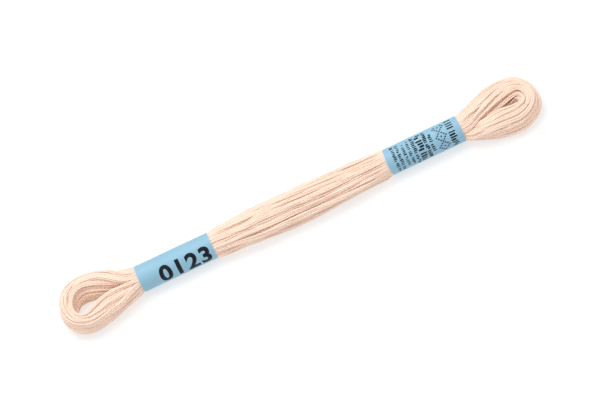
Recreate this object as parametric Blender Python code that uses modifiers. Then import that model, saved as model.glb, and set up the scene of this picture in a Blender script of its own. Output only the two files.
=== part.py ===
"""A pull skein of stranded embroidery cotton, as it lies on a table.

One long thread is wound to and fro into a flattened ring. Two paper bands pinch the ring, so that
its two runs lie together as one bundle, and at each end the turns open into a loop with an eye.

Frame: X runs along the skein, Z is up, and the origin is in the middle of its underside.
"""

import math

import bpy
from mathutils import Vector

MM = 0.001  # every length below is in millimetres, and this makes it metres where a shape is made

# Driving sizes
BAND_RADIUS = 4.0  # outside of each paper band
BAND_WALL = 1.0
CLEARANCE = 0.3  # between the cotton and the bands
AXIS = 4.15  # height of the bands' middle above the table
LEFT_BAND = (-50.0, -27.3)  # from end to end along X
RIGHT_BAND = (27.9, 51.0)
CORNER_REACH = 1.06  # how far a section's corner stands out, as a share of its half-width
NECK = (BAND_RADIUS - BAND_WALL - CLEARANCE) / CORNER_REACH  # half-width of the cotton in a band
TABLE = (200, 40, 3)  # the block that presses the underside flat

# Ridges stand for the groups of turns that lie side by side. Each has a furrow and a flat crest.
CORE_RIDGES = 14
LOOP_RIDGES = 9
POINTS_PER_RIDGE = 3
FURROW = 0.11  # depth of a furrow, as a share of the section's radius
FULLNESS = 2.35  # exponent of the sections: 2 is an ellipse, and more is boxier
BAND_SIDES = 48
SMOOTH_UP_TO = math.radians(35)  # a sharper fold than this is shaded as an edge

COTTON = {"colour": (0.93, 0.66, 0.50, 1), "roughness": 0.62}
PAPER = {"colour": (0.34, 0.62, 0.84, 1), "roughness": 0.55}

# The bundle, from left to right
#    along, rise, half_wide, half_tall
BUNDLE = (
    (-56.6, 4.0, 1.2, 1.9),
    (-54.6, 4.0, 2.7, 3.2),
    (-52.4, 4.1, 3.6, 3.8),
    (-50.8, AXIS, 3.75, 3.7),
    (LEFT_BAND[0] - CLEARANCE, AXIS, NECK, NECK),
    (LEFT_BAND[1] + CLEARANCE, AXIS, NECK, NECK),
    (-26.4, AXIS, 3.8, 3.7),
    (-24.6, 4.1, 4.0, 3.85),
    (-20.5, 3.95, 4.8, 4.05),
    (-15.9, 3.8, 5.35, 4.2),
    (-6.8, 3.75, 5.85, 4.25),
    (2.3, 3.75, 5.85, 4.25),
    (11.4, 3.75, 5.55, 4.25),
    (18.2, 3.85, 4.8, 4.1),
    (24.8, 4.05, 4.15, 3.85),
    (27.0, AXIS, 3.8, 3.7),
    (RIGHT_BAND[0] - CLEARANCE, AXIS, NECK, NECK),
    (RIGHT_BAND[1] + CLEARANCE, AXIS, NECK, NECK),
    (51.8, AXIS, 3.75, 3.7),
    (53.4, 4.1, 3.7, 3.8),
    (55.8, 4.0, 3.2, 3.3),
    (58.2, 4.0, 1.2, 1.9),
)

# Each loop, from the far run (+Y) round its end to the near run (-Y). A lean is in degrees.
# A section is thick across the ring's wall and tall up it. A lean above 0 tips its top to the eye.
#    along, across, rise, thick, tall, lean
LEFT_LOOP = (
    (-51.3, 1.9, AXIS, 3.3, 6.7, 0),
    (-54.2, 2.8, 4.0, 3.9, 7.7, 0),
    (-58.6, 4.3, 3.85, 4.9, 8.2, -4),
    (-63.0, 5.85, 3.8, 4.9, 8.3, -6),
    (-67.2, 5.95, 3.75, 4.6, 8.3, -4),
    (-70.7, 4.0, 3.65, 4.2, 8.1, 0),
    (-72.9, 0.2, 3.55, 3.9, 7.8, 4),
    (-71.2, -4.3, 3.4, 4.0, 7.4, 8),
    (-67.4, -6.3, 3.35, 4.2, 7.1, 10),
    (-62.8, -5.6, 3.55, 5.6, 7.6, 8),
    (-58.4, -4.2, 3.75, 5.6, 7.8, 4),
    (-54.2, -2.9, 4.0, 4.2, 7.6, 0),
    (-51.3, -1.9, AXIS, 3.3, 6.7, 0),
)
RIGHT_LOOP = (
    (52.3, 1.9, AXIS, 3.3, 6.7, 0),
    (55.2, 3.0, 4.0, 4.4, 7.6, 6),
    (59.4, 4.6, 3.75, 5.4, 7.4, 12),
    (63.8, 5.5, 3.55, 6.4, 7.4, 16),
    (68.2, 5.75, 3.45, 6.2, 7.4, 18),
    (71.5, 4.1, 3.4, 5.8, 7.3, 18),
    (72.2, -0.2, 3.35, 5.4, 7.2, 20),
    (70.3, -4.0, 3.4, 5.6, 7.2, 24),
    (66.7, -5.4, 3.45, 6.1, 7.3, 26),
    (62.6, -5.25, 3.55, 6.2, 7.5, 22),
    (58.8, -4.35, 3.8, 5.6, 7.7, 14),
    (55.2, -3.0, 4.0, 4.4, 7.6, 6),
    (52.3, -1.9, AXIS, 3.3, 6.7, 0),
)
BUNDLE_STEPS = 2  # sections from one row to the next
LOOP_STEPS = 3


def clear_scene():
    for thing in list(bpy.data.objects):
        bpy.data.objects.remove(thing, do_unlink=True)


def new_collection(name):
    found = bpy.data.collections.new(name)
    bpy.context.scene.collection.children.link(found)
    return found


def new_material(name, colour, roughness):
    material = bpy.data.materials.new(name)
    material.use_nodes = True
    shader = material.node_tree.nodes["Principled BSDF"]
    shader.inputs["Base Color"].default_value = colour
    shader.inputs["Roughness"].default_value = roughness
    shader.inputs["Metallic"].default_value = 0.0
    return material


def slopes(xs, values):
    """The slope at each row of a curve that never swings past its rows."""
    rises = [(b - a) / (x1 - x0) for a, b, x0, x1 in zip(values, values[1:], xs, xs[1:])]
    inner = [2 * a * b / (a + b) if a * b > 0 else 0.0 for a, b in zip(rises, rises[1:])]
    return [rises[0]] + inner + [rises[-1]]


def hermite(a, b, slope_a, slope_b, span, t):
    """The value at t, from 0 to 1, between a and b, with those slopes."""
    t2 = t * t
    t3 = t2 * t
    bend = slope_a * (t3 - 2 * t2 + t) + slope_b * (t3 - t2)
    return a + (b - a) * (3 * t2 - 2 * t3) + bend * span


def even_rows(rows, steps):
    """Rows of a table keyed by its first column, with steps sections from each row to the next."""
    columns = list(zip(*rows))
    bends = [slopes(columns[0], column) for column in columns[1:]]
    made = []
    for i in range(len(rows) - 1):
        span = columns[0][i + 1] - columns[0][i]
        for k in range(steps):
            t = k / steps
            row = [columns[0][i] + span * t]
            for column, bend in zip(columns[1:], bends):
                row.append(hermite(column[i], column[i + 1], bend[i], bend[i + 1], span, t))
            made.append(row)
    made.append(list(rows[-1]))
    return made


def round_rows(rows, steps):
    """Rows of a table that runs round a bend, read from a smooth curve through them."""
    made = []
    last = len(rows) - 1
    for i in range(last):
        before = rows[max(i - 1, 0)]
        after = rows[min(i + 2, last)]
        for k in range(steps):
            t = k / steps
            row = []
            for p, a, b, q in zip(before, rows[i], rows[i + 1], after):
                row.append(hermite(a, b, (b - p) / 2, (q - a) / 2, 1, t))
            made.append(row)
    made.append(list(rows[-1]))
    return made


def section(centre, across, up, half_wide, half_tall, ridges):
    """The outline of one section: a full ellipse with a furrow between each two ridges."""
    count = ridges * POINTS_PER_RIDGE
    ring = []
    for k in range(count):
        angle = math.tau * k / count
        cosine, sine = math.cos(angle), math.sin(angle)
        reach = (abs(cosine) ** FULLNESS + abs(sine) ** FULLNESS) ** (-1 / FULLNESS)
        if k % POINTS_PER_RIDGE == 0:
            reach *= 1 - FURROW
        ring.append(centre + across * (half_wide * reach * cosine) + up * (half_tall * reach * sine))
    return ring


def loft(name, rings, material, collection):
    """A closed solid through a row of sections that have the same number of points."""
    count = len(rings[0])
    points = [point for ring in rings for point in ring]
    faces = []
    for i in range(len(rings) - 1):
        for k in range(count):
            low, high = i * count, (i + 1) * count
            following = (k + 1) % count
            faces.append((low + k, low + following, high + following, high + k))
    faces.append(tuple(reversed(range(count))))
    faces.append(tuple(range(len(points) - count, len(points))))
    mesh = bpy.data.meshes.new(name)
    mesh.from_pydata(points, [], faces)
    mesh.materials.append(material)
    thing = bpy.data.objects.new(name, mesh)
    collection.objects.link(thing)
    bpy.context.view_layer.objects.active = thing
    make_outward(mesh)
    mesh.shade_smooth()
    mesh.set_sharp_from_angle(angle=SMOOTH_UP_TO)
    return thing


def make_outward(mesh):
    """Turns a closed mesh the right way round if its faces point in."""
    volume = 0.0
    mesh.calc_loop_triangles()
    for triangle in mesh.loop_triangles:
        a, b, c = (mesh.vertices[i].co for i in triangle.vertices)
        volume += a.dot(b.cross(c))
    if volume < 0:
        mesh.flip_normals()


def bundle(material, collection):
    """The two runs pressed together, from inside one loop's root to inside the other's."""
    rings = []
    for along, rise, half_wide, half_tall in even_rows(BUNDLE, BUNDLE_STEPS):
        centre = Vector((along, 0, rise)) * MM
        across, up = Vector((0, 1, 0)), Vector((0, 0, 1))
        rings.append(section(centre, across, up, half_wide * MM, half_tall * MM, CORE_RIDGES))
    return loft("hank", rings, material, collection)


def loop(name, table, material, collection):
    """The turns at one end: a leaning, uneven wall that runs round the eye."""
    rows = round_rows(table, LOOP_STEPS)
    turn = 1 if table[0][0] < 0 else -1
    rings = []
    for row, before, after in zip(rows, rows[:1] + rows, rows[1:] + rows[-1:]):
        along, side, rise, thick, tall, lean = row
        heading = Vector((after[0] - before[0], after[1] - before[1], 0)).normalized()
        outward = Vector((heading.y, -heading.x, 0)) * turn
        tip = math.radians(lean)
        across = outward * math.cos(tip) + Vector((0, 0, math.sin(tip)))
        up = Vector((0, 0, math.cos(tip))) - outward * math.sin(tip)
        centre = Vector((along, side, rise)) * MM
        rings.append(section(centre, across, up, thick / 2 * MM, tall / 2 * MM, LOOP_RIDGES))
    return loft(name, rings, material, collection)


def as_cutter(thing):
    thing.hide_render = True
    thing.display_type = "WIRE"


def combine(thing, other, operation):
    modifier = thing.modifiers.new(operation.title() + " " + other.name, "BOOLEAN")
    modifier.operation = operation
    modifier.object = other
    modifier.solver = "EXACT"


def move_to(thing, collection):
    for owner in list(thing.users_collection):
        owner.objects.unlink(thing)
    collection.objects.link(thing)


def table_block(collection):
    """A block whose top is the table: what the cotton would sink into it is pressed flat."""
    bpy.ops.mesh.primitive_cube_add(size=1, location=(0, 0, -TABLE[2] / 2 * MM))
    block = bpy.context.object
    block.name = "table_block"
    block.scale = Vector(TABLE) * MM
    move_to(block, collection)
    return block


def cotton(parts, cutters):
    """The wound thread: the bundle joined with both loops, resting on a flattened underside."""
    material = new_material("Stranded cotton", **COTTON)
    body = bundle(material, parts)
    for name, table in (("left_loop", LEFT_LOOP), ("right_loop", RIGHT_LOOP)):
        end = loop(name, table, material, cutters)
        as_cutter(end)
        combine(body, end, "UNION")
    block = table_block(cutters)
    as_cutter(block)
    combine(body, block, "DIFFERENCE")


def band(name, ends, material, collection):
    """A paper strip closed round the bundle: an open tube, given its wall inwards."""
    bpy.ops.mesh.primitive_cylinder_add(
        vertices=BAND_SIDES,
        radius=BAND_RADIUS * MM,
        depth=(ends[1] - ends[0]) * MM,
        end_fill_type="NOTHING",
        location=((ends[0] + ends[1]) / 2 * MM, 0, AXIS * MM),
        rotation=(0, math.radians(90), 0),
    )
    strip = bpy.context.object
    strip.name = name
    move_to(strip, collection)
    strip.data.materials.append(material)
    strip.data.shade_smooth()
    wall = strip.modifiers.new("Paper", "SOLIDIFY")
    wall.thickness = BAND_WALL * MM
    wall.offset = -1  # all of it inside


def main():
    clear_scene()
    parts = new_collection("Skein of embroidery floss")
    cutters = new_collection("Cutters")
    cotton(parts, cutters)
    paper = new_material("Coated paper", **PAPER)
    band("band_left", LEFT_BAND, paper, parts)
    band("band_right", RIGHT_BAND, paper, parts)


main()
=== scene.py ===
# %% [markdown]
# # A pull skein of stranded embroidery cotton
# Eight metres of six-strand cotton are wound to and fro into a long flat ring, and two paper bands
# pinch it. Nothing else holds it together, so nearly all that the eye sees is thread.
# The frame gives three plain solids: the hank and its two bands. They keep the sizes and the places,
# and this script puts the real thread and the real paper where they are.

# %% Load the frame
import math

import bpy
import numpy as np
from mathutils import Matrix, Vector


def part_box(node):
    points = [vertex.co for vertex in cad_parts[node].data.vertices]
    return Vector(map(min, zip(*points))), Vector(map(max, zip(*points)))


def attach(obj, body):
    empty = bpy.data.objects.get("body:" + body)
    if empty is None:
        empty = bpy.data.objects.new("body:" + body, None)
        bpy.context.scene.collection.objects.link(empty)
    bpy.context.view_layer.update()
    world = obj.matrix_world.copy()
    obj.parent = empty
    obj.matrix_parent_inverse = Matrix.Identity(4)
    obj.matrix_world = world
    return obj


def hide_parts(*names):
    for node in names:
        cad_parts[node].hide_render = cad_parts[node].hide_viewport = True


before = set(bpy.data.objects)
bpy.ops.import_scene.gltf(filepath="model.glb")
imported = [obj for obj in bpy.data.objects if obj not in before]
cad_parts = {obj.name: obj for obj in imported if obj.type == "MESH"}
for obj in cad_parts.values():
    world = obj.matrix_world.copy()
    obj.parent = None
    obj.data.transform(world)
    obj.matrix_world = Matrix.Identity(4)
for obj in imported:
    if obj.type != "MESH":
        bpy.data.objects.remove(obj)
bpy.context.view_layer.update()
print("nodes of the frame:", sorted(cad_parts))

# %% Measure the bands
MM = 0.001  # lengths below are in millimetres, and this makes them Blender's metres
left_low, left_high = (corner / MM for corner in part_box("band_left"))
right_low, right_high = (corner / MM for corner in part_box("band_right"))
BAND_ENDS = ((left_low.x, left_high.x), (right_low.x, right_high.x))
AXIS = (left_low.z + left_high.z) / 2  # height of the bands' middle
BAND_RADIUS = (left_high.z - left_low.z) / 2
print("bands run", [[round(x, 1) for x in ends] for ends in BAND_ENDS], "radius %.2f" % BAND_RADIUS)

# %% [markdown]
# The photograph looks down at about 50 degrees, square to the skein, through a long lens, and the
# picture is rolled so that the skein climbs to the right. The camera is placed from the pixel where
# the skein's middle lies and from the size of a pixel there.

# %% Camera
ELEVATION = math.radians(50)
ROLL = math.radians(25.2)
PICTURE = (600, 400)  # pixels
PIXEL = 0.2841  # millimetres at the skein
SKEIN_MIDDLE = (298.87, 204.39)  # pixel where the middle of the skein's axis lies
DISTANCE = 620  # millimetres from the camera to the skein
SENSOR = 36  # millimetres across


def add_camera():
    bpy.ops.object.camera_add()
    camera = bpy.context.object
    into = Vector((0, math.cos(ELEVATION), -math.sin(ELEVATION)))
    level = Vector((1, 0, 0))
    rise = Vector((0, math.sin(ELEVATION), math.cos(ELEVATION)))
    right = level * math.cos(ROLL) - rise * math.sin(ROLL)
    above = level * math.sin(ROLL) + rise * math.cos(ROLL)
    off_right = (PICTURE[0] / 2 - SKEIN_MIDDLE[0]) * PIXEL
    off_above = (SKEIN_MIDDLE[1] - PICTURE[1] / 2) * PIXEL
    target = Vector((0, 0, AXIS)) + right * off_right + above * off_above
    place = Matrix((right, above, -into)).transposed().to_4x4()
    place.translation = (target - into * DISTANCE) * MM
    camera.matrix_world = place
    camera.data.sensor_width = SENSOR
    camera.data.lens = SENSOR * DISTANCE / (PICTURE[0] * PIXEL)
    camera.data.clip_start = 0.01
    camera.data.dof.use_dof = False
    bpy.context.scene.camera = camera
    print("lens: %.0f mm" % camera.data.lens)


add_camera()

# %% [markdown]
# A material is a small graph of nodes. These helpers turn an sRGB colour into Blender's linear one,
# start a material, add a node with its sockets filled, and make a surface that isn't quite flat.

# %% Build a material


def linear(hex_colour):
    """An sRGB colour such as F9D8BF as the linear RGBA that a shader takes."""
    channels = [int(hex_colour[i : i + 2], 16) / 255 for i in (0, 2, 4)]
    return [c / 12.92 if c <= 0.04045 else ((c + 0.055) / 1.055) ** 2.4 for c in channels] + [1]


def new_material(name):
    material = bpy.data.materials.new(name)
    material.use_nodes = True
    return material, material.node_tree, material.node_tree.nodes["Principled BSDF"]


def add_node(tree, kind, inputs=(), **settings):
    """Adds a node. inputs gives each socket a value, or the socket that feeds it."""
    node = tree.nodes.new("ShaderNode" + kind)
    for name, value in settings.items():
        setattr(node, name, value)
    for name, value in dict(inputs).items():
        if isinstance(value, bpy.types.NodeSocket):
            tree.links.new(value, node.inputs[name])
        else:
            node.inputs[name].default_value = value
    return node


def emboss(tree, shader, pattern, strength, depth):
    """Shades the surface as if the pattern stood out of it by depth millimetres."""
    look = {"Height": pattern, "Strength": strength, "Distance": depth * MM}
    tree.links.new(add_node(tree, "Bump", look).outputs["Normal"], shader.inputs["Normal"])


# %% [markdown]
# The real skein was laid on something white that glows a little, so no hard shadow shows and the
# cotton is lit from below too. The floor here is matt white with a weak glow of its own, and a bump
# too faint to see keeps it from being perfectly flat.

# %% Floor
FLOOR_COLOUR = "A8A8A8"
FLOOR_GLOW = 0.58  # of a full white
FLOOR_SIZE = 4  # metres
FLOOR_GRAINS = 400  # across the floor


def add_floor():
    bpy.ops.mesh.primitive_plane_add(size=FLOOR_SIZE)
    floor = bpy.context.object
    floor.name = "floor"
    material, tree, shader = new_material("White light table")
    grain = add_node(tree, "TexNoise", {"Scale": FLOOR_GRAINS, "Detail": 2.0}).outputs["Fac"]
    shader.inputs["Base Color"].default_value = linear(FLOOR_COLOUR)
    shader.inputs["Roughness"].default_value = 0.9
    shader.inputs["Specular IOR Level"].default_value = 0.1
    shader.inputs["Emission Color"].default_value = (1, 1, 1, 1)
    shader.inputs["Emission Strength"].default_value = FLOOR_GLOW
    emboss(tree, shader, grain, strength=0.1, depth=0.1)
    floor.data.materials.append(material)
    print("floor:", FLOOR_SIZE, "metres square")


add_floor()

# %% [markdown]
# The photograph's light is soft and comes from above. One broad softbox high behind the skein gives
# the cotton its gentle light and dark, a much weaker one in front opens the shadows, and a white
# room all round, brighter overhead, fills in the rest.

# %% Softboxes


def add_softbox(name, place, size, power):
    """A square light of that size in millimetres, turned to face the skein."""
    bpy.ops.object.light_add(type="AREA", location=Vector(place) * MM)
    light = bpy.context.object
    light.name = name
    light.rotation_euler = (-Vector(place)).to_track_quat("-Z", "Y").to_euler()
    light.data.size = size * MM
    light.data.energy = power
    print(f"{name}: {Vector(place).length:.0f} mm away, {power} W")


add_softbox("key", place=(-80, 160, 640), size=460, power=2.0)
add_softbox("fill", place=(260, -500, 420), size=500, power=0.1)

# %% White room


def add_surrounding(level, overhead):
    """A white room, brighter overhead than at the level of the skein."""
    world = bpy.data.worlds.new("Studio")
    bpy.context.scene.world = world
    world.use_nodes = True
    background = world.node_tree.nodes["Background"]
    background.inputs["Color"].default_value = (1, 1, 1, 1)
    direction = add_node(world.node_tree, "TexCoord").outputs["Generated"]
    height = add_node(world.node_tree, "SeparateXYZ", {"Vector": direction}).outputs["Z"]
    shades = {"Value": height, "To Min": level, "To Max": overhead}
    strength = add_node(world.node_tree, "MapRange", shades).outputs["Result"]
    world.node_tree.links.new(strength, background.inputs["Strength"])


add_surrounding(level=0.35, overhead=1.2)
bpy.context.scene.view_settings.view_transform = "Standard"

# %% [markdown]
# The thread is one piece from end to end: 26 turns of the ring, so 52 runs lie side by side in a
# band. Three short tables give the ring's course as rows. Each row is one place on the middle of the
# wound cotton, with the section's thickness across the ring's wall, its height up the wall, and its
# lean: 0 is a wall that stands upright, and past that it tips outwards or inwards in degrees. Where
# the two runs are pressed against each other the section is half a disc, and dee is 1. Round the
# loops it is a full oval, and dee is 0. Part is how far the wall splits into two groups, in mm.
#
# In the photograph the skein is rolled a little in each band, so that the right loop lies open to
# the camera with its far leg on top, and the left loop shows the inside of its far wall. The first
# table therefore has a lean that grows towards both ends of the skein.

# %% The ring's course
#    along, from the middle, rise, thick, tall, lean: both runs, from left to right
PRESSED = (
    (-50.3, 2.00, 4.15, 4.0, 7.7, 28),
    (-45.0, 1.95, 4.15, 3.9, 7.7, 20),
    (-38.6, 1.95, 4.15, 3.9, 7.7, 11),
    (-33.0, 1.95, 4.15, 3.9, 7.7, 4),
    (-27.0, 2.00, 4.15, 4.0, 7.7, 0),
    (-20.5, 1.90, 4.10, 4.45, 7.6, 0),
    (-13.0, 2.15, 4.05, 5.4, 7.7, 0),
    (-4.0, 2.15, 4.05, 5.55, 7.7, 0),
    (6.0, 2.15, 4.05, 5.55, 7.7, 0),
    (16.0, 1.85, 4.10, 4.6, 7.5, 0),
    (22.5, 1.85, 4.10, 4.15, 7.5, 0),
    (27.6, 2.00, 4.15, 4.0, 7.7, 0),
    (33.0, 1.95, 4.15, 3.9, 7.7, 14),
    (39.5, 1.95, 4.15, 3.9, 7.7, 34),
    (46.0, 1.95, 4.15, 3.9, 7.7, 56),
    (51.4, 2.00, 4.15, 4.0, 7.7, 70),
)
#    along, across, rise, thick, tall, lean, dee, part
RIGHT_LOOP = (
    (54.2, -2.35, 2.55, 3.9, 7.7, -65, 0.8, 0),
    (58.6, -4.15, 3.60, 5.3, 7.4, -42, 0.4, 0),
    (62.6, -4.70, 3.85, 6.9, 6.4, -32, 0.1, 0),
    (66.8, -4.95, 3.85, 6.9, 6.5, -28, 0, 0.1),
    (70.2, -3.70, 3.70, 5.6, 6.7, -12, 0, 0.4),
    (71.6, -1.00, 3.70, 5.0, 6.9, 0, 0, 0.6),
    (70.8, 2.70, 3.85, 5.4, 6.9, 15, 0, 0.8),
    (67.4, 4.25, 4.05, 7.2, 6.4, 36, 0, 0.5),
    (63.0, 3.35, 4.20, 8.5, 5.9, 42, 0, 0.3),
    (58.8, 2.15, 4.75, 6.9, 6.8, 48, 0.3, 0.3),
    (54.4, 1.60, 5.45, 4.7, 7.7, 65, 0.8, 0),
)
LEFT_LOOP = (
    (-53.6, 2.05, 4.70, 4.5, 7.6, 18, 0.8, 0),
    (-57.6, 3.25, 4.05, 4.7, 7.8, -6, 0.2, 0.2),
    (-62.0, 4.80, 3.90, 4.6, 7.9, -24, 0, 0.4),
    (-66.6, 5.60, 3.85, 4.2, 7.9, -28, 0, 0.5),
    (-70.2, 4.05, 3.75, 3.9, 7.6, -16, 0, 0.4),
    (-72.3, 0.00, 3.65, 3.7, 7.3, 0, 0, 0.2),
    (-71.0, -4.40, 3.60, 4.0, 7.1, -8, 0, 0),
    (-67.6, -6.40, 3.70, 4.4, 7.0, -18, 0, 0),
    (-64.6, -5.70, 3.80, 5.9, 6.7, -28, 0, 0),
    (-61.4, -4.35, 3.85, 6.8, 6.5, -36, 0, 0),
    (-57.6, -3.45, 3.85, 6.2, 6.8, -36, 0.2, 0),
    (-53.8, -2.60, 3.40, 4.4, 7.6, -30, 0.8, 0),
)

# %% Join the tables into one ring
START = 3  # the ring starts this many rows of the near run before the right loop


def pressed(rows, side):
    """Full rows of one of the two pressed runs: side is 1 for the far one and -1 for the near one."""
    made = []
    for x, reach, rise, thick, tall, lean in rows:
        tip = math.radians(lean)
        across, up = side * reach * math.cos(tip), side * reach * math.sin(tip)
        made.append((x, across, rise + up, thick, tall, side * lean, 1, 0))
    return made


near_run = pressed(PRESSED, -1)
far_run = pressed(PRESSED[::-1], 1)
COURSE = near_run[-START:] + list(RIGHT_LOOP) + far_run + list(LEFT_LOOP) + near_run[:-START]
print("rows in the ring:", len(COURSE))

# %% [markdown]
# A smooth curve through the rows gives a section at any place of the ring. A turn of thread needs
# one every millimetre or so, in even steps, so the curve is measured finely first and then read
# where each step ends. Inside the bands no one looks, and the steps may be longer.

# %% Lay stations along the ring
SPACING = 1.25  # between two stations of a turn, where it shows
HIDDEN_FROM = 1.5  # how deep inside a band nothing shows any more
HIDDEN_SHARE = 0.45  # of the usual number of stations is enough there
READINGS = 20001  # of the curve, to measure its length


def smooth_between(a, b, c, d, u):
    """A smooth curve from b, where u is 0, to c, where u is 1, with a before it and d after it."""
    square = 2 * a - 5 * b + 4 * c - d
    cube = 3 * b - a - 3 * c + d
    return b + 0.5 * ((c - a) * u + square * u**2 + cube * u**3)


def read_course(places):
    """The closed table read at fractional row numbers."""
    rows = np.array(COURSE, float)
    whole = np.floor(places).astype(int)
    around = [rows[(whole + k) % len(rows)] for k in (-1, 0, 1, 2)]
    return smooth_between(*around, (places - whole)[:, None])


def inside_bands(x, margin):
    """True where x lies deeper than margin inside a band."""
    return np.any([(x > low + margin) & (x < high - margin) for low, high in BAND_ENDS], axis=0)


def lay_stations():
    """Rows of the course at even steps of its length, with longer steps inside the bands."""
    fine = np.linspace(0, len(COURSE), READINGS)
    rows = read_course(fine)
    steps = np.linalg.norm(np.diff(rows[:, :3], axis=0), axis=1)
    steps *= np.where(inside_bands(rows[:-1, 0], HIDDEN_FROM), HIDDEN_SHARE, 1)
    travel = np.concatenate([[0], np.cumsum(steps)])
    count = round(travel[-1] / SPACING)
    return read_course(np.interp(np.arange(count) / count * travel[-1], travel, fine))


stations = lay_stations()
print("stations in a turn:", len(stations))

# %% [markdown]
# Each turn keeps roughly its own place in the section all the way round. The places come from the
# pattern of a sunflower's seeds, which fills a disc evenly, and a seeded random drift lets a turn
# wander past its neighbours as wound thread does. Under the right band, where no one looks, each
# turn moves over into the place of the next, which makes the 26 turns one thread.

# %% A place in the section for each turn
TURNS = 26


def seed_places():
    """Even places in a disc of radius 1, in an order in which each is next to the one before."""
    k = np.arange(TURNS)
    radius = np.sqrt((k + 0.5) / TURNS)
    angle = k * math.pi * (3 - math.sqrt(5))  # the golden angle from one seed to the next
    places = np.stack([radius * np.cos(angle), radius * np.sin(angle)], axis=1)
    order = [int(np.argmin(places[:, 1]))]
    while len(order) < TURNS:
        distance = np.linalg.norm(places - places[order[-1]], axis=1)
        distance[order] = np.inf
        order.append(int(np.argmin(distance)))
    return places[order]


seeds = seed_places()
ways = np.linalg.norm(np.diff(seeds, axis=0), axis=1)
print("longest way from a turn to the next: %.2f of the radius" % ways.max())

# %% Let the turns drift
DRIFT = 0.06  # height of the drift's longest wave, as a share of the section's radius
WAVES = 7  # the drift is made of this many waves round the ring
CALMER = 0.6  # how fast the waves get lower as they get shorter
chance = np.random.default_rng(8)


def drifting(places):
    """Each turn's place at every station, with a slow drift that closes on itself."""
    round_angle = np.arange(len(stations)) / len(stations) * math.tau
    drift = np.zeros((TURNS, len(stations), 2))
    for harmonic in range(1, WAVES + 1):
        size = DRIFT / harmonic**CALMER
        cosine, sine = chance.normal(size=(2, TURNS, 1, 2)) * size
        drift += cosine * np.cos(harmonic * round_angle)[None, :, None]
        drift += sine * np.sin(harmonic * round_angle)[None, :, None]
    return places[:, None, :] + drift


drifted = drifting(seeds)
print("farthest drift: %.2f of the radius" % np.abs(drifted - seeds[:, None, :]).max())

# %% Hand each turn over to the next
HAND_OVER = (32, 47)  # from and to along the skein, under the right band


def ramp(x, low, high):
    """0 below low and 1 above high, with a soft start and end."""
    t = np.clip((x - low) / (high - low), 0, 1)
    return t * t * (3 - 2 * t)


def handed_over(own):
    """Under the right band each turn starts in its own place and ends in the place of the next."""
    count = len(stations)
    here = (stations[:, 1] < 0) & (stations[:, 0] > HAND_OVER[0]) & (stations[:, 0] < HAND_OVER[1])
    share = ramp(stations[:, 0], *HAND_OVER)[None, :, None]
    first = here & (np.arange(count) < count / 2)
    last = here & (np.arange(count) > count / 2)
    before = np.roll(own, 1, axis=0)
    before[0] = own[0]
    after = np.roll(own, -1, axis=0)
    after[-1] = own[-1]
    made = own.copy()
    made[:, first] = (before * (1 - share) + own * share)[:, first]
    made[:, last] = (own * (1 - share) + after * share)[:, last]
    return made


turn_places = handed_over(drifted)
print("places along the thread:", turn_places.shape[0] * turn_places.shape[1])

# %% [markdown]
# A place in a round disc has to become a place in the real section, which is a boxy oval in the
# loops, half a disc in the bands, leans, and may be parted into two groups. The guide is the
# thread's middle line laid out in this way. The thread's thickness follows from the room that a
# section has for its 26 turns, up to the thickness of a loose thread.

# %% Lay the guide
FILL = (1.0, 0.95)  # share of thick times tall that the threads claim, where dee is 0 and 1
FULLNESS = 2.35  # exponent of the oval sections: 2 is an ellipse, and more is boxier
LOOSEST = 1.34  # thickness that a thread swells to where nothing presses on it
PART_AT = 0.25  # share of the radius inwards of which a turn belongs to the inner group
PART_SOFTLY = 0.2  # share of the radius, to each side of that, where a turn is between the groups
SINK = 0.2  # how far the inner group sinks for each millimetre that it parts
PRESS = 0.93  # size of the section in the guide, because the turns spread as they settle


def wall_directions(lean):
    """At every station, the way out across the leaning wall and the way up it."""
    tangent = np.roll(stations[:, :2], -1, axis=0) - np.roll(stations[:, :2], 1, axis=0)
    tangent /= np.linalg.norm(tangent, axis=1)[:, None]
    outward = np.stack([tangent[:, 1], -tangent[:, 0], np.zeros(len(stations))], axis=1)
    up = np.array([0, 0, 1])
    tip = np.radians(lean)[:, None]
    return outward * np.cos(tip) + up * np.sin(tip), up * np.cos(tip) - outward * np.sin(tip)


def boxy(places):
    """Places in a disc, moved outwards until they fill a boxy oval of the same width."""
    kept = places / np.maximum(np.linalg.norm(places, axis=2, keepdims=True), 1)
    angle = np.arctan2(kept[..., 1], kept[..., 0])
    cosine, sine = np.abs(np.cos(angle)), np.abs(np.sin(angle))
    return kept * ((cosine**FULLNESS + sine**FULLNESS) ** (-1 / FULLNESS))[..., None]


def guide_thread():
    """The whole thread's first course, as points, and its thickness at each."""
    thick, tall, lean, dee, part = stations.T[3:]
    across, upward = wall_directions(lean)
    in_out, low_high = np.moveaxis(boxy(turn_places), 2, 0)
    share = thick * tall * (FILL[0] + (FILL[1] - FILL[0]) * dee) / TURNS
    girth = np.minimum(np.sqrt(share), LOOSEST)
    flat_side = np.sqrt(np.clip(1 - low_high**2, 0, 1)) - 1
    inner = ramp(-in_out, PART_AT - PART_SOFTLY, PART_AT + PART_SOFTLY)
    sideways = (thick * PRESS - girth) / 2 * (in_out + dee * flat_side) - part * (inner - 0.5)
    rise = low_high * (tall * PRESS - girth) / 2 - part * SINK * inner * ramp(low_high, -1, 1)
    points = stations[:, :3] + across * sideways[..., None] + upward * rise[..., None]
    return points.reshape(-1, 3), np.tile(girth, TURNS)


guide, girth = guide_thread()
print("the thread is %.2f to %.2f mm thick" % (girth.min(), girth.max()))

# %% [markdown]
# The guide lets threads pass through each other. A few hundred small steps put that right, the way a
# cloth or rope solver works: threads that are closer than their thickness push apart, each point is
# drawn a little back to its guide, the thread resists a sharp bend, and the paper bands and the table
# hold it in. It takes a few seconds, and comes out the same each time.

# %% Find what lies close
NEXT_ALONG = 3  # points that follow each other this closely along the thread don't push


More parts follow.
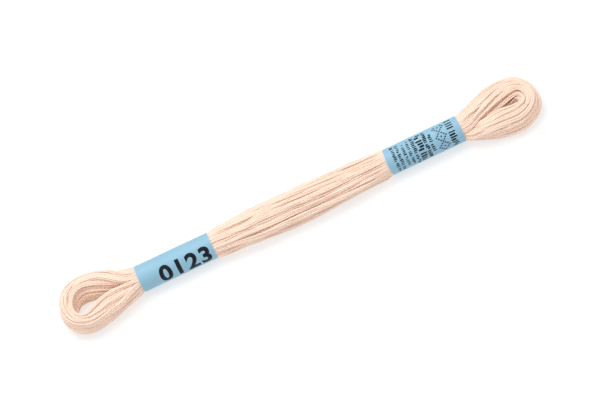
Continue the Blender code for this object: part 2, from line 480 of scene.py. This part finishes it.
def near_pairs(points, reach):
    """Every two points within reach of each other that aren't close along the thread."""
    order = np.argsort(points[:, 0], kind="stable")
    lined = points[order]
    slab = np.floor((lined[:, 0] - lined[0, 0]) / reach).astype(int)
    starts = np.searchsorted(slab, np.arange(slab[-1] + 3))
    found = []
    for start, middle, end in zip(starts, starts[1:], starts[2:]):
        apart = sum((lined[start:middle, None, k] - lined[None, start:end, k]) ** 2 for k in range(3))
        i, j = np.nonzero(apart < reach**2)
        forward = j > i
        found.append(np.stack([order[start + i[forward]], order[start + j[forward]]], axis=1))
    pairs = np.concatenate(found)
    return pairs[np.abs(pairs[:, 0] - pairs[:, 1]) > NEXT_ALONG].T


print("pairs of points within a millimetre:", near_pairs(guide, 1.0).shape[1])

# %% Push apart what overlaps


def unit(vectors):
    return vectors / np.maximum(np.linalg.norm(vectors, axis=-1, keepdims=True), 1e-9)


def directions(points):
    ends = np.vstack([points[:1], points, points[-1:]])
    return unit(ends[2:] - ends[:-2])


def push_apart(points, girth, pairs, level_with, on_edge):
    """Moves threads that overlap, at right angles to their course."""
    a, b = pairs
    squash = np.stack([on_edge[a], on_edge[a], 1 / on_edge[a]], axis=1)
    course = directions(points)
    same_way = np.sign((course[a] * course[b]).sum(axis=1))[:, None]
    course = unit(course[a] + same_way * course[b])
    apart = points[b] - points[a]
    level = (apart * course).sum(axis=1)
    apart = (apart - level[:, None] * course) * squash
    distance = np.linalg.norm(apart, axis=1)
    overlap = (girth[a] + girth[b]) / 2 - distance
    touching = (overlap > 0) & (np.abs(level) < level_with)
    a, b = a[touching], b[touching]
    push = (unit(apart) * overlap[:, None] / 2 / squash)[touching]
    moved = np.zeros_like(points)
    for axis in range(3):
        moved[:, axis] += np.bincount(b, push[:, axis], len(points))
        moved[:, axis] -= np.bincount(a, push[:, axis], len(points))
    contacts = np.bincount(a, minlength=len(points)) + np.bincount(b, minlength=len(points))
    points += moved / np.maximum(contacts / 2, 1)[:, None]


# %% Hold the thread in
BORE = BAND_RADIUS - 0.26  # the rest goes to the paper, its ripples and the swell of the strands
FOOT = 0.6  # lowest that a thread's middle lies, as a share of its thickness


def hold_in(points, girth, banded):
    """Keeps the thread inside the paper and above the table."""
    from_axis = points[:, 1:] - (0, AXIS)
    distance = np.linalg.norm(from_axis, axis=1)
    limit = BORE - girth * 0.5
    out = banded & (distance > limit)
    points[out, 1:] = (from_axis * (limit / distance)[:, None])[out] + (0, AXIS)
    points[:, 2] = np.maximum(points[:, 2], girth * FOOT)


print("the threads' room in a band is %.2f mm across" % (2 * BORE))

# %% Let the threads settle
GRIP = 0.6  # how far past its ends a band still holds the threads
LOOSE_FROM, LOOSE_AT = 51, 60  # from the skein's middle: where the loops begin and are fully loose
ON_EDGE = 0.12  # how much taller than wide the flattened thread stands round a loop
DRAW = 0.02  # how firmly a turn is drawn back to its guide
STIFFNESS = 0.5  # share of a bend that the thread takes out of itself in one step
SEARCH_EVERY = 12  # steps from one search for what lies close to the next


def looseness(x):
    """0 in the bands and between them, and 1 out in the loops."""
    return ramp(np.abs(x), LOOSE_FROM, LOOSE_AT)


def settle(guide, girth, rounds, reach, level_with, hold, edge):
    """Lets threads of that girth come to rest near their guide."""
    points = guide.copy()
    on_edge = 1 + edge * looseness(points[:, 0])
    banded = inside_bands(points[:, 0], -GRIP)
    for step in range(rounds):
        if step % SEARCH_EVERY == 0:
            pairs = near_pairs(points, reach)
        push_apart(points, girth, pairs, level_with, on_edge)
        points += (guide - points) * hold
        bend = points - guide
        points[1:-1] += ((bend[2:] + bend[:-2]) / 2 - bend[1:-1]) * STIFFNESS
        hold_in(points, girth, banded)
    return points


thread = settle(guide, girth, rounds=150, reach=1.95, level_with=0.8, hold=DRAW, edge=ON_EDGE)
print("thread is %.3f m long" % (np.linalg.norm(np.diff(thread, axis=0), axis=1).sum() * MM))

# %% [markdown]
# Six strands make the thread, and a stitcher pulls them apart. They lie round each other in a long,
# slow twist, and a strand that has settled as the thread did finds its own place among its
# neighbours, so in the loops, where nothing presses on it, the thread opens into finer lines.

# %% Read the thread more finely
RING_STEP = 0.8  # between the rings of a strand's mesh, where it shows
HIDDEN_RINGS = 0.25  # of the usual number of rings is enough inside a band


def refine(points, values):
    """The thread read again at the rings of the mesh: its points, thickness and length so far."""
    steps = np.linalg.norm(np.diff(points, axis=0), axis=1)
    shown = np.where(inside_bands(points[:-1, 0], HIDDEN_FROM), HIDDEN_RINGS, 1)
    travel = np.concatenate([[0], np.cumsum(steps * shown)])
    count = round(travel[-1] / RING_STEP)
    at = np.interp(np.linspace(0, travel[-1], count), travel, np.arange(len(points)))
    last = len(points) - 1
    whole = np.minimum(np.floor(at).astype(int), last - 1)
    around = [points[np.clip(whole + k, 0, last)] for k in (-1, 0, 1, 2)]
    smooth = smooth_between(*around, (at - whole)[:, None])
    length = np.concatenate([[0], np.cumsum(np.linalg.norm(np.diff(smooth, axis=0), axis=1))])
    return smooth, np.interp(at, np.arange(len(points)), values), length


middle, thickness, strand_length = refine(thread, girth)
print("rings in a strand:", len(strand_length))

# %% Let values wander
#    millimetres from one random value to the next, and the usual size of a value
TWIST_WANDER = (9, 0.4)  # of the twist, in radians
OVAL_WANDER = (16, 1.6)  # of the way in which the thread is pressed flat, in radians
REACH_WANDER = (7, 0.1)  # of a strand's distance from the thread's middle, as a share
PLACE_WANDER = (5, 0.12)  # of a strand's place round that middle, in radians
GIRTH_WANDER = (3, 0.05)  # of a strand's thickness, as a share
slack = np.random.default_rng(3)


def slow_noise(wander, count):
    """Smooth random values along the thread, one row for each of count strands."""
    step, size = wander
    at = strand_length / step
    whole = np.floor(at).astype(int)
    part = ramp(at - whole, 0, 1)
    values = slack.normal(size=(count, int(at[-1]) + 3)) * size
    return values[:, whole] * (1 - part) + values[:, whole + 1] * part


# %% Lay six strands in the thread
STRANDS = 6
STRAND = 0.40  # a strand's thickness as a share of the thread's
FLATTENING = (0.25, 0.3)  # how far the thread is pressed to an oval, where it is held and in the loops
TWIST_PITCH = 110.0  # length of thread in which the strands go round once


def by_place(pair, x):
    """Reads a pair of values: the first where the thread is held, the second out in the loops."""
    return pair[0] + (pair[1] - pair[0]) * looseness(x)


def strand_courses(width):
    """The first courses of strands of that width round the thread, at each ring."""
    course = directions(middle)
    side = unit(np.cross((0, 0, 1), course))
    above = np.cross(course, side)
    edge = (1 + ON_EDGE * looseness(middle[:, 0]))[:, None]
    flattening = by_place(FLATTENING, middle[:, 0])
    turn = strand_length / TWIST_PITCH * math.tau + slow_noise(TWIST_WANDER, 1)
    squash_way = slow_noise(OVAL_WANDER, 1)
    spread = slow_noise(REACH_WANDER, STRANDS)
    stray = slow_noise(PLACE_WANDER, STRANDS)
    courses = []
    for k in range(STRANDS):
        angle = (turn + math.tau * k / STRANDS + stray[k])[0]
        reach = (thickness - width) / 2 * (1 + spread[k])
        offset = (reach * (1 + flattening * np.cos(2 * (angle - squash_way[0]))))[:, None]
        sideways = side * np.cos(angle)[:, None] / edge
        upward = above * np.sin(angle)[:, None] * edge
        courses.append(middle + (sideways + upward) * offset)
    return courses


strand_width = thickness * STRAND
together = np.concatenate(strand_courses(strand_width))
print("a strand is %.2f to %.2f mm thick" % (strand_width.min(), strand_width.max()))

# %% Let the strands settle
HOLD = (0.03, 0.012)  # how firmly a strand is drawn to its place, where it is held and in the loops

hold = by_place(HOLD, together[:, 0])[:, None]
widths = np.tile(strand_width, STRANDS)
rested = settle(together, widths, rounds=90, reach=0.95, level_with=0.5, hold=hold, edge=0)
strand_paths = np.split(rested, STRANDS)
print("the strands moved %.2f mm at most" % np.linalg.norm(rested - together, axis=1).max())

# %% [markdown]
# Each strand is drawn as a curve with a round bevel, as a pipe or wire is, and then made a mesh. The
# operators that do this act on whatever is selected, so each piece starts with nothing selected. The
# curve leaves its end caps apart from the tube, and merging their corners closes the mesh.

# %% Draw one strand
SWELL = 1.21  # how much fatter a strand is drawn than the room it claims, because it squashes
SIDES = 6


def select_only(*things):
    bpy.ops.object.select_all(action="DESELECT")
    for thing in things:
        thing.select_set(True)
        bpy.context.view_layer.objects.active = thing


def lay_strand(name, path):
    curve = bpy.data.curves.new(name, "CURVE")
    curve.dimensions = "3D"
    curve.bevel_depth = SWELL / 2 * MM
    curve.bevel_resolution = SIDES // 2 - 2
    curve.use_fill_caps = True
    spline = curve.splines.new("POLY")
    spline.points.add(len(path) - 1)
    spline.points.foreach_set("co", np.column_stack([path * MM, np.ones(len(path))]).ravel())
    uneven = 1 + slow_noise(GIRTH_WANDER, 1)[0]
    spline.points.foreach_set("radius", strand_width * uneven)
    strand = bpy.data.objects.new(name, curve)
    bpy.context.scene.collection.objects.link(strand)
    select_only(strand)
    bpy.ops.object.convert(target="MESH")
    return bpy.context.object


def close_caps(strand):
    select_only(strand)
    bpy.ops.object.mode_set(mode="EDIT")
    bpy.ops.mesh.select_all(action="SELECT")
    bpy.ops.mesh.remove_doubles(threshold=1e-7)
    bpy.ops.object.mode_set(mode="OBJECT")
    bpy.ops.object.shade_smooth()


# %% [markdown]
# The curve gives the mesh a UV map. Its first number is stretched to millimetres along the strand,
# so that the finer twist of the two plies can follow the strand round every bend. Each strand then
# says where it belongs: it rides on the skein, and together the six stand for the frame's hank.

# %% Draw all strands


def read_uv(piece):
    values = np.empty(2 * len(piece.data.loops))
    piece.data.uv_layers[0].data.foreach_get("uv", values)
    return values.reshape(-1, 2)


def write_uv(piece, values):
    piece.data.uv_layers[0].name = "real_size"
    piece.data.uv_layers[0].data.foreach_set("uv", np.ravel(values))


def belongs(piece, slot, *nodes):
    """The piece rides on the skein and may stand for frame nodes. Its slot is not used."""
    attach(piece, "root")
    if nodes:
        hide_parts(*nodes)


strands = []
for number, path in enumerate(strand_paths, 1):
    strand = lay_strand(f"strand_{number}", path)
    along, around = read_uv(strand).T
    along = np.interp(along * (len(path) - 1), np.arange(len(path)), strand_length)
    write_uv(strand, np.column_stack([along, around]))
    close_caps(strand)
    belongs(strand, "Stranded cotton", "hank")
    strands.append(strand)
print("triangles in a strand:", sum(len(face.vertices) - 2 for face in strands[0].data.polygons))

# %% [markdown]
# The cotton, the paper and the ink below are each made from the same few things: random patches of a
# known size, a colour between two others, and a gloss that isn't the same everywhere.

# %% Patterns and colours


def calculate(tree, operation, *values):
    """The result of a sum on one or two values, each a number or the socket that gives it."""
    return add_node(tree, "Math", dict(enumerate(values)), operation=operation).outputs[0]


def patches(tree, size, detail):
    """Random patches about size millimetres wide, as a value from 0 to 1."""
    place = add_node(tree, "TexCoord").outputs["Object"]
    look = {"Vector": place, "Scale": 1 / (size * MM), "Detail": detail}
    return add_node(tree, "TexNoise", look).outputs["Fac"]


def blend(tree, share, first, second):
    """A colour between two others. A Mix node's colours are its inputs 6 and 7, and its output 2."""
    return add_node(tree, "Mix", {0: share, 6: first, 7: second}, data_type="RGBA").outputs[2]


def vary_roughness(tree, shader, pattern, smooth, rough):
    spread = add_node(tree, "MapRange", {"Value": pattern, "To Min": smooth, "To Max": rough})
    tree.links.new(spread.outputs["Result"], shader.inputs["Roughness"])


def give(piece, material):
    """The piece gets that material and no other."""
    piece.data.materials.clear()
    piece.data.materials.append(material)


# %% [markdown]
# Embroidery cotton is mercerised: a bath of lye swells the fibres and leaves them smooth, so that it
# shines softly. The shader is a pale base that varies slowly with the looseness of the twist, a soft
# gloss, a little sheen for the loose fibres at the edges, and a bump of two plies that twist round
# each other every 1.1 mm. The valleys between the plies get a painted shade: a deeper, warmer colour
# that stands in for the light that leaves them after it has met the dye more than once.

# %% Mercerised cotton
COTTON = "FFE4D0"
COTTON_PALE = "FFEADC"  # where the twist is looser
# painted shade for the valleys between the plies
COTTON_VALLEY_SHADE = "FDD6BE"  # between two plies
COTTON_SHEEN = "FFEFE4"
LOOSER = 7  # millimetres from a looser place to a tighter one
PLY_PITCH = 1.1  # millimetres in which the two plies go round once
PLY_HEIGHT = 0.08  # millimetres from a valley to a ply's crown
FIBRE = 0.09  # millimetres: real fibres are 0.015 mm, too fine to show
FIBRE_HEIGHT = 0.008  # millimetres


def twisted_plies(tree):
    """1 on the crown of a ply and 0 in the valley, as the two plies wind along the strand."""
    along_round = add_node(tree, "UVMap", uv_map="real_size").outputs["UV"]
    split = add_node(tree, "SeparateXYZ", {"Vector": along_round})
    turns = calculate(tree, "MULTIPLY", split.outputs["X"], 1 / PLY_PITCH)
    part = calculate(tree, "FRACT", calculate(tree, "ADD", split.outputs["Y"], turns))
    wave = calculate(tree, "COSINE", calculate(tree, "MULTIPLY", part, math.tau))
    return calculate(tree, "ABSOLUTE", wave)


def mercerised_cotton():
    material, tree, shader = new_material("Mercerised cotton")
    ply = twisted_plies(tree)
    fibres = patches(tree, FIBRE, detail=2.0)
    dyed = blend(tree, patches(tree, LOOSER, detail=3.0), linear(COTTON), linear(COTTON_PALE))
    # painted shade: the ply valleys are coloured deeper and warmer than the crowns
    tree.links.new(blend(tree, ply, linear(COTTON_VALLEY_SHADE), dyed), shader.inputs["Base Color"])
    vary_roughness(tree, shader, fibres, smooth=0.42, rough=0.62)

    fine = add_node(tree, "Bump", {"Height": fibres, "Distance": FIBRE_HEIGHT * MM})
    plies = {"Height": ply, "Distance": PLY_HEIGHT * MM, "Normal": fine.outputs["Normal"]}
    tree.links.new(add_node(tree, "Bump", plies).outputs["Normal"], shader.inputs["Normal"])

    shader.inputs["Specular IOR Level"].default_value = 0.35
    shader.inputs["Sheen Weight"].default_value = 0.25
    shader.inputs["Sheen Tint"].default_value = linear(COTTON_SHEEN)
    return material


cotton = mercerised_cotton()
for strand in strands:
    give(strand, cotton)
print("nodes in the cotton:", len(cotton.node_tree.nodes))

# %% [markdown]
# Each band is a strip of thin coated paper, wrapped once round the pinched threads and glued to
# itself where it overlaps, behind and below. It starts as a flat grid at its cut size. A formula
# then rolls every point of the flat strip: x stays along the skein, y goes round it, and z is the
# height off the paper, which lets the print be wrapped by the same formula.

# %% Roll a flat strip
PAPER = 0.10  # thickness
OVERLAP = 4.0  # the glued flap
PAPER_RADIUS = BAND_RADIUS - 0.12  # of the paper's middle
ROUND = math.tau * PAPER_RADIUS
SEAM = math.radians(214)  # where the strip starts, counted from the top towards the camera
FLAP_RISE = 1.2 * PAPER  # how much farther out the flap lies than the start of the strip
FLAP_CLIMB = (ROUND - 1.5, ROUND + 0.3)  # from and to along the strip, where it climbs onto its start
RIPPLE = 0.008  # height of each of the paper's faint ripples
ripple = np.random.default_rng(5)
RIPPLES = [(lobes, ripple.uniform(0.1, 0.5), ripple.uniform(0, math.tau)) for lobes in (2, 3, 4, 5, 7)]


def wrapped(flat):
    """Places on a band for points of its flat strip, all in millimetres."""
    x, y, z = np.asarray(flat).T
    angle = SEAM - y / PAPER_RADIUS
    radius = PAPER_RADIUS + FLAP_RISE * ramp(y, *FLAP_CLIMB) + z
    for lobes, waves, start in RIPPLES:
        radius += RIPPLE * np.cos(lobes * angle + waves * x + start)
    return np.column_stack([x, -radius * np.sin(angle), AXIS + radius * np.cos(angle)])


print("once round a band: %.1f mm" % ROUND)

# %% Reshape and thicken
SMOOTH_UP_TO = math.radians(35)  # an edge that turns more than this stays sharp


def reshape(piece, change):
    """Moves the piece's points to where change puts them, both in millimetres."""
    points = np.empty(3 * len(piece.data.vertices))
    piece.data.vertices.foreach_get("co", points)
    piece.data.vertices.foreach_set("co", np.ravel(change(points.reshape(-1, 3) / MM)) * MM)
    piece.data.update()


def thicken(piece, thickness, offset):
    """Makes a sheet solid: with offset 0 it grows to both sides, and with 1 only outwards."""
    solid = piece.modifiers.new("thickness", "SOLIDIFY")
    solid.thickness = thickness * MM
    solid.offset = offset
    select_only(piece)
    bpy.ops.object.modifier_apply(modifier=solid.name)
    bpy.ops.object.shade_smooth_by_angle(angle=SMOOTH_UP_TO)


# %% Wrap the paper
GRID_STEP = 0.35
FACING = math.radians(90) - ELEVATION  # the direction of the camera, counted as SEAM is
BOWS = {"band_left": (0.1, 0.15), "band_right": (0.6, 0.1)}  # of each band's two cut edges
TRIMS = (0.15, -0.4)  # how far each paper's right edge lies past the CAD band's, as photographed
PAPER_ENDS = [(low, high + trim) for (low, high), trim in zip(BAND_ENDS, TRIMS)]


def wrap_paper(name, low, high, bows):
    """A strip from low to high, cut a little full by bows where it faces the camera."""
    width, length = high - low, ROUND + OVERLAP
    counts = round(width / GRID_STEP), round(length / GRID_STEP)
    bpy.ops.mesh.primitive_grid_add(x_subdivisions=counts[0], y_subdivisions=counts[1], size=1)
    band = bpy.context.object
    band.name = name
    write_uv(band, read_uv(band) * (width, length))

    def roll(points):
        share = points[:, :2] * MM + 0.5
        y = share[:, 1] * length
        front = np.clip(np.cos(SEAM - y / PAPER_RADIUS - FACING), 0, 1) ** 2
        x = low + share[:, 0] * width
        x += front * (bows[1] * share[:, 0] ** 6 - bows[0] * (1 - share[:, 0]) ** 6)
        return wrapped(np.column_stack([x, y, np.zeros(len(x))]))

    reshape(band, roll)
    thicken(band, PAPER, 0)
    print(f"{name}: strip of {width:.1f} x {length:.1f} mm")
    return band


bands = []
for (node, bows), (low, high) in zip(BOWS.items(), PAPER_ENDS):
    band = wrap_paper(node.replace("band", "paper"), low, high, bows)
    belongs(band, "Coated paper", node)
    bands.append(band)

# %% [markdown]
# Coated paper has a thin layer of clay that takes ink well and shines a little. The blue is printed
# on it, so where the cut edges have rubbed, a ragged line of bare paper shows. The grain is the
# paper's own, about 0.4 mm from one high spot to the next.

# %% Coated paper
PAPER_BLUE = "88B4CB"
PAPER_FADED = "8FBAD0"  # where the blue is printed a little thinner
PAPER_CORE = "DCE9EF"  # unprinted, at the cut edges
FADING = 9  # millimetres from a thinner place to a fuller one
GRAIN = 0.4  # millimetres
GRAIN_HEIGHT = 0.02  # millimetres
EDGE_WEAR = 0.16  # millimetres from the cut edge that are rubbed pale
WORN = 0.7  # how pale the rubbed edge is, from the blue at 0 to bare paper at 1


def worn_edges(tree, width, grain):
    """WORN at the two cut edges of a strip of that width, and 0 from a little further in."""
    flat = add_node(tree, "UVMap", uv_map="real_size").outputs["UV"]
    along = add_node(tree, "SeparateXYZ", {"Vector": flat}).outputs["X"]
    inward = calculate(tree, "MINIMUM", along, calculate(tree, "SUBTRACT", width, along))
    ragged = calculate(tree, "MULTIPLY", grain, EDGE_WEAR * 2)
    rub = {"Value": inward, "From Max": ragged, "To Min": WORN, "To Max": 0.0}
    return add_node(tree, "MapRange", rub).outputs["Result"]


def coated_paper(width):
    material, tree, shader = new_material("Coated paper")
    grain = patches(tree, GRAIN, detail=4.0)
    blue = blend(tree, patches(tree, FADING, detail=2.0), linear(PAPER_BLUE), linear(PAPER_FADED))
    rubbed = blend(tree, worn_edges(tree, width, grain), blue, linear(PAPER_CORE))
    tree.links.new(rubbed, shader.inputs["Base Color"])
    vary_roughness(tree, shader, grain, smooth=0.38, rough=0.55)
    emboss(tree, shader, grain, strength=0.5, depth=GRAIN_HEIGHT)
    shader.inputs["Specular IOR Level"].default_value = 0.4
    return material


for band, (low, high) in zip(bands, PAPER_ENDS):
    give(band, coated_paper(high - low))
print("nodes in the paper:", len(bands[0].data.materials[0].node_tree.nodes))

# %% [markdown]
# The left band has large plain figures, printed along it. They start as a text object, which becomes
# a flat mesh, is cut into narrow rows so that it can follow the curve, is wrapped as the paper was,
# and gets the thickness of a film of ink, drawn thicker than a real one so that it stays solid.

# %% Print on the paper
INK = 0.02  # thickness of the printed film
INK_LIFT = PAPER / 2 - 0.008  # the film starts just inside the paper's face
ROW = 0.35  # height of the rows that the print is cut into


def round_at(angle):
    """Distance round the strip to the place at that angle."""
    return (SEAM - angle) * PAPER_RADIUS


def print_on(piece, low, high):
    """Cuts flat artwork into rows, wraps it on the paper and gives it a film's thickness."""
    select_only(piece)
    bpy.ops.object.mode_set(mode="EDIT")
    for y in np.arange(low + ROW, high, ROW):
        bpy.ops.mesh.select_all(action="SELECT")
        bpy.ops.mesh.bisect(plane_co=(0, y * MM, 0), plane_no=(0, 1, 0))
    bpy.ops.object.mode_set(mode="OBJECT")
    reshape(piece, lambda points: wrapped(points + (0, 0, INK_LIFT)))
    thicken(piece, INK, 1)


# %% Print the figures
FIGURES = "0123"
FIGURES_LOW, FIGURES_HIGH = -44.1, -28.4  # along the skein
FIGURES_HEIGHT = 5.4
FIGURES_FOOT = math.radians(107)  # where they stand, counted as SEAM is
FIGURES_APART = 1.12  # of the font's own spacing
BOLDNESS = 0.035


def add_figures():
    bpy.ops.object.text_add()
    text = bpy.context.object
    text.data.body = FIGURES
    text.data.offset = BOLDNESS
    text.data.space_character = FIGURES_APART
    select_only(text)
    bpy.ops.object.convert(target="MESH")
    figures = bpy.context.object
    figures.name = "print_left"
    foot = round_at(FIGURES_FOOT)

    def fit(points):
        low, high = points.min(axis=0), points.max(axis=0)
        share = (points - low) / (high - low + (0, 0, 1))
        size = (FIGURES_HIGH - FIGURES_LOW, FIGURES_HEIGHT, 0)
        return share * size + (FIGURES_LOW, foot, 0)

    reshape(figures, fit)
    print_on(figures, foot, foot + FIGURES_HEIGHT)
    print("ink on the left band:", len(figures.data.polygons), "faces")
    return figures


figures = add_figures()

# %% [markdown]
# The right band carries rows of plain bars that run round it, of the size and spacing of small print,
# and between them a chain of lozenges in cross stitch, a common border in embroidery.

# %% Lay a line of bars
#    middle along the skein, height, bar, gap, from and to in degrees round the band
LINES = (
    (30.1, 1.0, 0.33, 0.20, -22, 106),
    (31.6, 1.0, 0.33, 0.20, -22, 106),
    (33.2, 0.9, 0.31, 0.21, -8, 92),
    (34.7, 0.9, 0.31, 0.21, -14, 98),
    (36.3, 1.1, 0.37, 0.18, -24, 110),
    (38.1, 1.9, 0.54, 0.28, -22, 106),
    (39.9, 1.1, 0.38, 0.16, -24, 110),
    (41.4, 1.0, 0.42, 0.22, 8, 80),
    (47.8, 2.0, 0.48, 0.30, -24, 106),
)
IN_A_WORD = (3, 8)  # bars between two wider gaps: at least 3, and fewer than 8
WIDER = 1.6  # gaps more between two words
BAR_WIDTHS = (0.7, 1.25)  # least and most, as a share of the line's bar
BAR_HEIGHTS = (0.7, 0.85, 1.0)  # that a bar may have, as a share of the line's height
letters = np.random.default_rng(11)


def add_bar(x, y, wide, tall, turn=0.0, lift=0.0):
    """A flat rectangle of the artwork, wide along the skein and tall round it."""
    bpy.ops.mesh.primitive_plane_add(size=1)
    bar = bpy.context.object
    cosine, sine = math.cos(turn), math.sin(turn)

    def lay(points):
        a, b = points[:, 0] * MM * wide, points[:, 1] * MM * tall
        turned = x + a * cosine - b * sine, y + a * sine + b * cosine
        return np.column_stack([*turned, np.full(len(a), lift)])

    reshape(bar, lay)
    return bar


def add_line(middle, height, bar, gap, first, last):
    """Bars of uneven height with a wider gap after every few, as words are spaced."""
    bars = []
    y = round_at(math.radians(last))
    left_in_word = int(letters.integers(*IN_A_WORD))
    while y < round_at(math.radians(first)):
        tall = bar * letters.uniform(*BAR_WIDTHS)
        wide = height * letters.choice(BAR_HEIGHTS)
        bars.append(add_bar(middle + (height - wide) / 2 * letters.choice((-1, 1)), y, wide, tall))
        left_in_word -= 1
        y += bar + gap
        if left_in_word == 0:
            y += WIDER * gap
            left_in_word = int(letters.integers(*IN_A_WORD))
    return bars


# %% Lay the border
BORDER = (42.8, 46.3, -20, 106)  # from and to along the skein, and in degrees round the band
HALF = 3  # stitches from the middle of a lozenge to its tip
STITCH = 0.2  # width of one printed stitch
STITCH_LENGTH = 1.1  # as a share of the cell that it crosses
OVER = 0.003  # how far the second stitch of a cross lies above the first


def add_border(low, high, first, last):
    """A chain of lozenges in small crosses, with one more cross in the middle of each."""
    columns = 2 * HALF + 1
    cell = (high - low) / columns
    rows = int((round_at(math.radians(first)) - round_at(math.radians(last))) / cell)
    bars = []
    for row in range(rows):
        for column in range(columns):
            if abs(column - HALF) + abs(row % (2 * HALF) - HALF) not in (0, HALF):
                continue
            x = low + (column + 0.5) * cell
            y = round_at(math.radians(last)) + (row + 0.5) * cell
            bars.append(add_bar(x, y, STITCH, STITCH_LENGTH * cell, math.radians(45)))
            bars.append(add_bar(x, y, STITCH, STITCH_LENGTH * cell, math.radians(-45), OVER))
    return bars


# %% Print the bars and the border
SMALL_PRINT = (-26, 112)  # degrees round the band that all of it lies between


def add_small_print():
    bars = []
    for line in LINES:
        bars += add_line(*line)
    bars += add_border(*BORDER)
    select_only(*bars)
    bpy.ops.object.join()
    joined = bpy.context.object
    joined.name = "print_right"
    high, low = (round_at(math.radians(angle)) for angle in SMALL_PRINT)
    print_on(joined, low, high)
    print("bars on the right band:", len(bars))
    return joined


small_print = add_small_print()

# %% [markdown]
# Printer's ink on coated paper is nearly black, dries with a faint gloss and lies unevenly, so that
# it is a little thinner, and bluer, in places.

# %% Printing ink
INK_BLACK = "0B0F16"
INK_THIN = "1E2938"
INK_PATCH = 0.5  # millimetres from a thinner place to a fuller one
INK_HEIGHT = 0.01  # millimetres


def printing_ink():
    material, tree, shader = new_material("Printing ink")
    patchy = patches(tree, INK_PATCH, detail=4.0)
    thin = add_node(tree, "MapRange", {"Value": patchy, "From Min": 0.5, "From Max": 0.75})
    shade = blend(tree, thin.outputs["Result"], linear(INK_BLACK), linear(INK_THIN))
    tree.links.new(shade, shader.inputs["Base Color"])
    vary_roughness(tree, shader, patchy, smooth=0.35, rough=0.6)
    emboss(tree, shader, patchy, strength=0.4, depth=INK_HEIGHT)
    shader.inputs["Specular IOR Level"].default_value = 0.2
    return material


ink = printing_ink()
for artwork in (figures, small_print):
    give(artwork, ink)
    belongs(artwork, "Coated paper")
print("nodes in the ink:", len(ink.node_tree.nodes))
